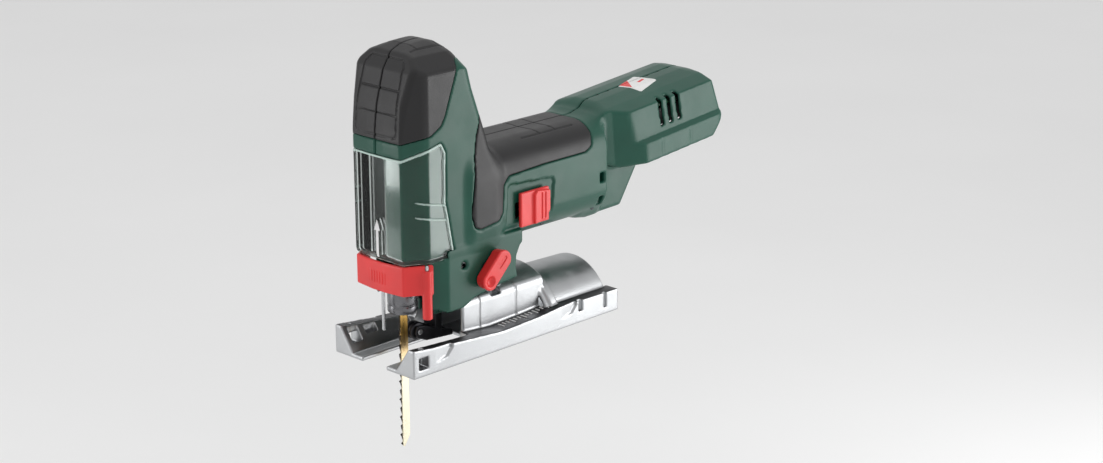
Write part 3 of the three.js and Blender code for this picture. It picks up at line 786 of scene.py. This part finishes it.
def angle_scale():
    """Raised tick marks along the casting's left ledge, longer at every third."""
    bm = bmesh.new()
    for i in range(14):
        x = 66 + 3.6 * i
        near = -33.2 if i % 3 == 0 else -31.0
        z = float(np.interp(x, [60, 95, 115], [13.2, 14.6, 16.4]))
        for vert in bmesh.ops.create_cube(bm, size=1)["verts"]:
            vert.co = to_vector((x + vert.co.x * 1.1, (near - 27.2) / 2 + vert.co.y * (-27.2 - near),
                                 z + 0.05 + vert.co.z * 0.5))
    bmesh.ops.bevel(bm, geom=bm.edges[:], offset=0.00012, segments=2, affect="EDGES")
    mesh = bpy.data.meshes.new("angle_scale_ticks")
    bm.to_mesh(mesh)
    bm.free()
    piece = bpy.data.objects.new("angle_scale_ticks", mesh)
    bpy.context.scene.collection.objects.link(piece)
    mesh.materials.append(MATERIALS["white"])
    place(piece, "base", [], "cast_metal")


def saddle():
    g = Grid((41, -21, 30), (79, 21, 48), 0.6)
    ring = both_round(np.hypot(g.y, g.z) - 46.4, -(np.hypot(g.y, g.z) - SADDLE_R), 0.4)
    body = both_round(both_round(ring, slab(g.x, 42, 78), 0.6), slab(g.y, -20, 20), 1)
    for at in range(-3, 4):  # angle teeth along the front edge
        turn = g.y * math.cos(math.radians(7.5 * at)) - g.z * math.sin(math.radians(7.5 * at))
        body = np.maximum(body, -both(np.abs(turn) - 0.6, slab(g.x, 41, 45), g.z * -1 + 43.8))
    sculpt("tilt_saddle_ring", g, body, MATERIALS["saddle"], "housing", ["tilt_saddle"], "cast_metal")


# ---- lever, selector and switch ----
def lever():
    g = Grid((-19, -33.5, 34), (5, 33.5, 72), 0.45)
    plan = outline(g.x, g.y, mirrored([(-17.2, 6), (-15.2, 22.6), (3, 32.6), (14, 33.0)]), 1.2)
    wall = both_round(plan, -(plan + 2.6), 0.4)
    band = both_round(wall, slab(g.z, LEVER["z0"], LEVER["z1"]), 0.9)
    band = both(band, g.x - 3)
    post = disc(g.x, g.y, *LEVER_AXIS, 3.3)
    post = both_round(post, slab(g.z, LEVER["post"], 68), 0.8)
    body = either_round(band, post, 1.0)
    for i in range(-5, 6):  # thumb ribs on the front
        rib = both(slab(g.y, 2.6 * i - 0.45, 2.6 * i + 0.45), slab(g.z, 57, 65), slab(g.x, -30, -16.7))
        body = np.maximum(body, -rib)
    body = np.maximum(body, -disc(g.x, g.y, *LEVER_AXIS, 1.35))
    sculpt("release_lever_band", g, body, MATERIALS["red"], "lever", ["release_lever"], "controls")


def selector():
    x0, z0 = SELECTOR["x"], SELECTOR["z"]
    g = Grid((x0 - 16, -41.6, z0 - 16), (x0 + 16, -32.2, z0 + 16), 0.35)
    c = math.cos(SELECTOR["lean"])
    along = c * (g.x - x0) + c * (g.z - z0)
    across = c * (g.z - z0) - c * (g.x - x0)
    bar = segment(along, across, (-8, 0), (8, 0), 7.3)
    waist = np.maximum(bar, np.abs(across) - 6.9)
    taper = (g.y + 41.4) * -0.10
    body = both_round(waist - taper, slab(g.y, -41.2, -32.6), 1.2)
    dimple = np.sqrt((along + 9) ** 2 + across ** 2 + (g.y + 43.2) ** 2) - 4.4
    body = np.maximum(body, -both(segment(along, across, (3, 0), (10.5, 0), 1.1), g.y + 40.6))
    body = np.maximum(body, -dimple)
    sculpt("orbit_knob", g, body, MATERIALS["red"], "selector", ["orbit_selector"], "controls")


def slider():
    x0, x1, z0, z1 = (SWITCH[k] for k in ("x0", "x1", "z0", "z1"))
    g = Grid((x0, -37.6, z0), (x1, -26.5, z1), 0.35)
    slab_body = block(g, (x0, x1), (-35.2, -32.4), (z0, z1), 1.0)
    raised = [(x0 + 11.5, z0 + 0.3), (x1 - 5, z0 + 2), (x1 - 0.5, z0 + 8), (x1 - 0.5, z1 - 2),
              (x0 + 14, z1 - 0.3), (x0 + 11.5, z1 - 3)]
    pad = both_round(outline(g.x, g.z, raised, 1.2), slab(g.y, -37.2, -33), 1.0)
    body = either_round(slab_body, pad, 0.8)
    for i in range(2):
        at = x0 + 17.5 + 3.2 * i
        body = np.maximum(body, -both(slab(g.x, at, at + 1.2), slab(g.z, z0 + 3, z1 - 2.5), g.y + 36.5))
    tab = block(g, (x0 + 8, x0 + 18), (-34, -26.7), (86, 96), 0.5)
    sculpt("switch_thumb_slider", g, either(body, tab), MATERIALS["red"], "switch",
           ["switch_slider"], "controls")


base()
angle_scale()
saddle()
lever()
selector()
slider()


# ---- turned parts ----
def eased(profile, size):
    """A profile of (along, radius) points with each corner off the axis cut back by size."""
    result = []
    for i, (a, r) in enumerate(profile):
        (pa, pr), (na, nr) = profile[i - 1], profile[(i + 1) % len(profile)]
        back, ahead = math.hypot(pa - a, pr - r), math.hypot(na - a, nr - r)
        if r == 0 or min(back, ahead) < 2.2 * size:
            result.append((a, r))
            continue
        result.append((a + (pa - a) * size / back, r + (pr - r) * size / back))
        result.append((a + (na - a) * size / ahead, r + (nr - r) * size / ahead))
    return result


def turned(name, axis, profile, centre, look, body, nodes, slot, ease=0.25, sides=56):
    """A lathe part. The profile is a closed loop of (along the axis, radius) in mm."""
    profile = eased(profile, ease)
    mesh, bm = bpy.data.meshes.new(name), bmesh.new()
    lengthwise = "xyz".index(axis)
    first, second = [i for i in range(3) if i != lengthwise]
    rings = []
    for along, radius in profile:
        ring = []
        for step in range(1 if radius == 0 else sides):
            turn = 2 * math.pi * step / sides
            point = [0, 0, 0]
            point[lengthwise] = along
            point[first] = centre[0] + radius * math.cos(turn)
            point[second] = centre[1] + radius * math.sin(turn)
            ring.append(bm.verts.new(to_vector(point)))
        rings.append(ring)
    for ring, after in zip(rings, rings[1:] + rings[:1]):
        if len(ring) == 1 and len(after) == 1:
            continue
        for step in range(sides):
            ahead = (step + 1) % sides
            corners = [ring[step % len(ring)], ring[ahead % len(ring)],
                       after[ahead % len(after)], after[step % len(after)]]
            bm.faces.new(list(dict.fromkeys(corners)))
    bmesh.ops.recalc_face_normals(bm, faces=bm.faces)
    for face in bm.faces:
        face.smooth = True
    bm.to_mesh(mesh)
    bm.free()
    piece = bpy.data.objects.new(name, mesh)
    bpy.context.scene.collection.objects.link(piece)
    mesh.materials.append(MATERIALS[look])
    crease(piece)
    return place(piece, body, nodes, slot)


def crease(piece, degrees=32):
    """Shades smoothly across gentle turns and crisply across sharp ones."""
    mesh = piece.data
    bm = bmesh.new()
    bm.from_mesh(mesh)
    for edge in bm.edges:
        edge.smooth = len(edge.link_faces) == 2 and edge.calc_face_angle(0) < math.radians(degrees)
    bm.to_mesh(mesh)
    bm.free()


def tube(lo, hi, outer, inner=0):
    return [(lo, inner), (lo, outer), (hi, outer), (hi, inner)]


def mechanism():
    collar = [(31.7, 7.1), (31.7, 8.6), (33.2, 10), (37, 10), (37.8, 9.5), (38.6, 10), (48.5, 10),
              (50, 9.0), (50, 7.1)]
    wheel = [(-3.6, 2.05), (-3.6, 5.4), (-2.8, 6.2), (-1.1, 6.2), (-0.9, 5.1), (0.9, 5.1),
             (1.1, 6.2), (2.8, 6.2), (3.6, 5.4), (3.6, 2.05)]
    wire = [(22.9, 0), (22.9, 0.9), (23.8, 1.25), (69.6, 1.25), (69.6, 0)]
    can = [(70, 5), (70, 19.6), (71.4, 21), (134, 21), (134, 19.3), (72, 19.3), (72, 5)]
    bright = "bright_steel"
    turned("plunger_bar", "z", tube(50, 180, 5), PLUNGER_AXIS, "turned", "plunger", ["plunger_rod"],
           bright, 0.6)
    turned("clamp_collar", "z", collar, PLUNGER_AXIS, "gunmetal", "sleeve", ["clamp_sleeve"],
           "dark_steel", 0.3)
    turned("guide_wheel", "y", wheel, WHEEL_AXIS, "dark_steel", "roller", ["guide_roller"],
           "dark_steel", 0.2)
    turned("wheel_pin", "y", tube(-6.3, 6.3, 2), WHEEL_AXIS, "steel", "fork", ["roller_pin"],
           bright, 0.4)
    turned("fork_hinge_pin", "y", tube(-8.9, 8.9, 1.6), FORK_AXIS, "steel", "housing", ["fork_pin"],
           bright, 0.3)
    turned("lever_hinge_pin", "z", tube(34.5, 71.5, 1.2), LEVER_AXIS, "steel", "housing",
           ["lever_pin"], bright, 0.3)
    turned("finger_guard_wire", "z", wire, (-12.6, 0), "steel", "housing", ["touch_guard"],
           bright, 0.1, 24)
    turned("motor_housing", "x", can, (0, MOTOR_Z), "steel", "housing", ["motor_can"], bright, 0.3, 72)
    turned("gear_axle", "x", tube(26.5, 52, 4), (0, CRANK_Z), "steel", "gear", ["gear_shaft"],
           bright, 0.5)
    turned("crank_stud", "x", tube(15.8, 34.5, 3), (9, CRANK_Z), "steel", "gear", ["crank_pin"],
           bright, 0.4)
    for name, z0 in (("upper", 160), ("lower", 76)):
        turned("plunger_sleeve_" + name, "z", tube(z0, z0 + 10, 7.5, 5.1), PLUNGER_AXIS, "bronze", "housing",
               ["plunger_bush_" + name], "bronze", 0.5)
    for name, node, x, outer, inner, z in (
            ("front_bearing", "motor_front_bearing", 39.5, 7.8, 2.6, MOTOR_Z),
            ("rear_bearing", "motor_rear_bearing", 137, 6, 2.6, MOTOR_Z),
            ("crank_bearing", "gear_bearing", 39.5, 8.8, 4.1, CRANK_Z)):
        rim, hub, face = outer - 1.5, inner + 1.4, 0.5
        ring = [(x, inner), (x, hub), (x + face, hub), (x + face, rim), (x, rim), (x, outer),
                (x + 5, outer), (x + 5, rim), (x + 5 - face, rim), (x + 5 - face, hub),
                (x + 5, hub), (x + 5, inner)]
        turned(name + "_races", "x", ring, (0, z), "steel", "housing", [node], "bright_steel", 0.15)


def armature():
    """Laminated core with skewed slots, wound with copper, on the motor shaft."""
    g = Grid((26, -16, 85), (147, 16, 117), 0.6)
    radius, angle = np.hypot(g.y, g.z - MOTOR_Z), np.arctan2(g.y, g.z - MOTOR_Z)
    shaft = both(radius - 2.5, slab(g.x, 26, 147))
    core = both(radius - 15.3, slab(g.x, 80, 108))
    slots = both(14.0 - radius, 0.55 - np.cos(9 * (angle + 0.012 * (g.x - 94))), slab(g.x, 78, 110))
    core = np.maximum(core, -slots * 2.0)
    bulge = np.hypot(np.maximum(np.abs(g.x - 94.5) - 15.5, 0), np.maximum(radius - 8.6, 0)) - 3.8
    ends = both(bulge, radius - 12.4) + 0.35 * np.cos(26 * angle)
    sculpt("wound_armature", g, either(shaft, core, ends), MATERIALS["copper"], "rotor",
           ["armature"], "copper")


def commutator():
    g = Grid((116, -9.5, 91.5), (127, 9.5, 110.5), 0.3)
    radius, angle = np.hypot(g.y, g.z - MOTOR_Z), np.arctan2(g.y, g.z - MOTOR_Z)
    body = both_round(both(radius - 8.9, 2.7 - radius), slab(g.x, 116.6, 125.9), 0.3)
    bars = both(np.abs(np.sin(9 * angle)) * radius / 9 - 0.22, 8.1 - radius)
    sculpt("commutator_bars", g, np.maximum(body, -bars), MATERIALS["copper"], "rotor",
           ["commutator"], "copper")


def fan():
    """Centrifugal fan: a back disc and swept blades."""
    g = Grid((51, -20, 81), (67, 20, 121), 0.45)
    radius, angle = np.hypot(g.y, g.z - MOTOR_Z), np.arctan2(g.y, g.z - MOTOR_Z)
    disc_part = both_round(radius - 19.3, slab(g.x, 62.5, 64.5), 0.5)
    hub = both_round(radius - 5, slab(g.x, 52.2, 65.8), 0.6)
    swept = angle - 0.035 * radius
    vane = both(np.abs(np.sin(4.5 * swept)) * radius / 4.5 - 0.6, slab(g.x, 53.5, 63), radius - 18.9)
    body = np.maximum(either(disc_part, hub, vane), 2.7 - radius)
    sculpt("fan_wheel", g, body, MATERIALS["black"], "rotor", ["cooling_fan"], "black_plastic")


def clamp():
    """Blade holder with a slot for the shank and a socket for the plunger."""
    g = Grid((-3.5, -7.5, 32), (11.5, 7.5, 63), 0.35)
    radius = np.hypot(g.x - 4, g.y)
    step = np.where(g.z < 35.5, radius - 6.4, radius - 6.8)
    body = both_round(step, slab(g.z, 33, 62), 0.5)
    body = np.maximum(body, -both(radius - 5.2, slab(g.z, 49.7, 70)))
    body = np.maximum(body, -both(slab(g.x, -2.6, 10.6), slab(g.y, -0.95, 0.95), slab(g.z, 30, 48.5)))
    sculpt("blade_holder", g, body, MATERIALS["steel"], "plunger", ["blade_clamp"], "bright_steel")


def blade():
    """Saw blade with hooked teeth bent alternately left and right."""
    tip, pitch, width = BLADE["tip"], BLADE["pitch"], BLADE["width"]
    g = Grid((-2.2, -1.1, tip), (10.2, 1.1, BLADE["top"]), 0.26)
    teeth, z = [], tip + 3
    while z < 20:
        teeth += [(0, z), (1.7, z + 1.2), (0.6, z + pitch - 1.1)]
        z += pitch
    points = [(3, tip)] + teeth + [
        (0.8, 24), (0.8, 40.5), (-2, 41.5), (-2, 45), (1.5, BLADE["top"]), (6.5, BLADE["top"]), (10, 45),
        (10, 41.5), (width - 0.8, 40.5), (width, 24), (width, tip + 8)]
    flat = outline(g.x, g.z, points)
    hand = np.where(np.floor((g.z - tip - 2) / pitch) % 2 > 0.5, 1.0, -1.0)
    lean = np.where(g.z < 22, hand * np.clip((1.9 - g.x) / 1.9, 0, 1) * 0.3, 0)
    body = both_round(flat, np.abs(g.y - lean) - BLADE["thick"] / 2, 0.12)
    sculpt("saw_blade", g, body, MATERIALS["blade"], "plunger", ["blade"], "blade_coating")


def fork():
    """Forked bracket that carries the guide wheel."""
    g = Grid((10, -6.5, 6), (45, 6.5, 34), 0.35)
    side = [(10.5, 16), (12, 12), (20, 8.5), (44, 6.6), (44, 10.5), (34, 13.5), (34, 33), (28, 33),
            (28, 16), (18, 19.5), (12, 20.3)]
    profile = outline(g.x, g.z, side, 0.8)
    arms = both_round(profile, slab(np.abs(g.y), 4, 6), 0.4)
    bridge = both_round(block(g, (28, 34), (-5, 5), (16, 33), 0.6), profile, 0.5)
    tail = block(g, (30, 44), (-5, 5), (7.6, 9.6), 0.4)
    body = either(either_round(arms, bridge, 1.0), tail)
    body = np.maximum(body, -disc(g.x, g.z, *WHEEL_AXIS, 2.1))
    body = np.maximum(body, -disc(g.x, g.z, *FORK_AXIS, 1.7))
    sculpt("guide_fork", g, body, MATERIALS["dark_steel"], "fork", ["roller_fork"], "dark_steel")


def star(radius, points=6):
    """A star's outline, whose hollows reach in to 0.72 of its radius."""
    reach = [radius * (1 if i % 2 else 0.72) for i in range(2 * points)]
    return [(r * math.cos(math.pi * i / points), r * math.sin(math.pi * i / points))
            for i, r in enumerate(reach)]


def screws():
    """Pan-head screws with a six-pointed drive, deep in their bores on the right-hand side."""
    for number, (x, z) in enumerate(SCREWS, 1):
        wall = 32.5 if x > BATTERY_END else BODY_HALF
        face = wall - 1
        g = Grid((x - 4, 5 - wall, z - 4), (x + 4, wall, z + 4), 0.3)
        radius = np.hypot(g.x - x, g.z - z)
        dome = np.sqrt(radius ** 2 + (g.y - (face - 6.2)) ** 2) - 6.2
        cap = both_round(both(radius - 3.6, dome), slab(g.y, face - 2.6, face + 1), 0.3)
        shank = both(radius - 1.6 - 0.12 * np.sin(g.y * 5.5), slab(g.y, 6 - wall, face - 2))
        drive = both(outline(g.x - x, g.z - z, star(1.9)), slab(g.y, face - 1.6, face + 1))
        body = np.maximum(either(cap, shank), -drive)
        sculpt(f"shell_screw_{number}", g, body, MATERIALS["dark_steel"], "housing",
               [f"housing_screw_{number}"], "dark_steel")


def base_screw():
    g = Grid((54, -6, 27), (66, 6, 43), 0.35)
    radius = np.hypot(g.x - 60, g.y)
    head_part = both_round(radius - 5, slab(g.z, 28, 33.2), 0.5)
    body = either(head_part, both(radius - 3, slab(g.z, 33, 42.4)))
    hexagon = [(2.5 * math.cos(math.pi * i / 3), 2.5 * math.sin(math.pi * i / 3)) for i in range(6)]
    socket = both(outline(g.x - 60, g.y, hexagon), slab(g.z, 20, 31))
    sculpt("tilt_lock_screw", g, np.maximum(body, -socket), MATERIALS["dark_steel"], "base",
           ["base_clamp_screw"], "dark_steel")


mechanism()
armature()
commutator()
fan()
clamp()
blade()
fork()
screws()
base_screw()

# ---- pieces kept as the frame draws them: eased edges and a real finish ----
KEPT = {
    "motor_pinion": "steel", "drive_gear": "steel", "gearbox_frame": "saddle", "plunger_yoke": "steel",
    "counterweight": "steel", "orbit_shaft": "steel", "switch_rod": "black", "switch_module": "black",
    "brush_holder": "black", "carbon_brush_left": "black", "carbon_brush_right": "black",
    "terminal_block": "black", "control_board": "board",
}
for node, look in KEPT.items():
    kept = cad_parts[node]
    for socket in kept.material_slots:
        socket.link = "OBJECT"
        socket.material = MATERIALS[look]
    bevel = kept.modifiers.new("eased_edges", "BEVEL")
    bevel.width = 0.0003
    bevel.segments = 2
    bevel.limit_method = "ANGLE"
    bevel.angle_limit = math.radians(35)


# ---- camera, lights and floor ----
CAMERA = {"azimuth": 0.7944, "elevation": 0.3031, "roll": -0.0033, "distance": 1536.57,
          "aim": (102.11, 83.95), "focal": 2300, "frame": (1103, 463)}


def camera():
    """A long lens at the tool's front left, as far away as the perspective says."""
    az, el = CAMERA["azimuth"], CAMERA["elevation"]
    right = Vector((math.cos(az), -math.sin(az), 0))
    up = Vector((math.sin(az) * math.sin(el), math.cos(az) * math.sin(el), math.cos(el)))
    back = Vector((-math.sin(az) * math.cos(el), -math.cos(az) * math.cos(el), math.sin(el)))
    at = right * CAMERA["aim"][0] + up * CAMERA["aim"][1] + back * CAMERA["distance"]
    data = bpy.data.cameras.new("camera")
    data.sensor_width = 36
    data.lens = 36 * CAMERA["focal"] / CAMERA["frame"][0]
    eye = bpy.data.objects.new("camera", data)
    bpy.context.scene.collection.objects.link(eye)
    turn = Matrix((right, up, back)).transposed() @ Matrix.Rotation(CAMERA["roll"], 3, "Z")
    eye.matrix_world = Matrix.Translation(to_vector(at)) @ turn.to_4x4()
    bpy.context.scene.camera = eye


def soft_light(name, place, aim, size, power):
    data = bpy.data.lights.new(name, "AREA")
    data.shape = "RECTANGLE"
    data.size, data.size_y = size
    data.energy = power
    lamp = bpy.data.objects.new(name, data)
    bpy.context.scene.collection.objects.link(lamp)
    lamp.location = place
    lamp.rotation_euler = (Vector(aim) - Vector(place)).to_track_quat("-Z", "Y").to_euler()


def studio():
    scene = bpy.context.scene
    scene.view_settings.view_transform = "Standard"
    world = scene.world or bpy.data.worlds.new("studio")
    scene.world = world
    world.use_nodes = True
    world.node_tree.nodes["Background"].inputs["Color"].default_value = (1, 1, 1, 1)
    world.node_tree.nodes["Background"].inputs["Strength"].default_value = 0.66
    soft_light("overhead", (0.2, 0.3, 3.0), (0.1, 0.1, 0), (5, 5), 30)
    soft_light("side_box", (0.62, -0.60, 0.10), (0.05, -0.03, 0.10), (0.5, 0.62), 3.6)
    soft_light("front_strip", (-0.9, 0.62, 0.25), (0.05, 0, 0.08), (0.16, 0.9), 2.2)
    bpy.ops.mesh.primitive_plane_add(size=30, location=(0, 0, -0.24))
    floor = bpy.context.object
    floor.name = "studio_floor"
    paper = Paint("studio_paper", (0.86, 0.86, 0.86), 0.9)
    paper.vary(3, 0.01)
    floor.data.materials.append(paper.material)


camera()
studio()
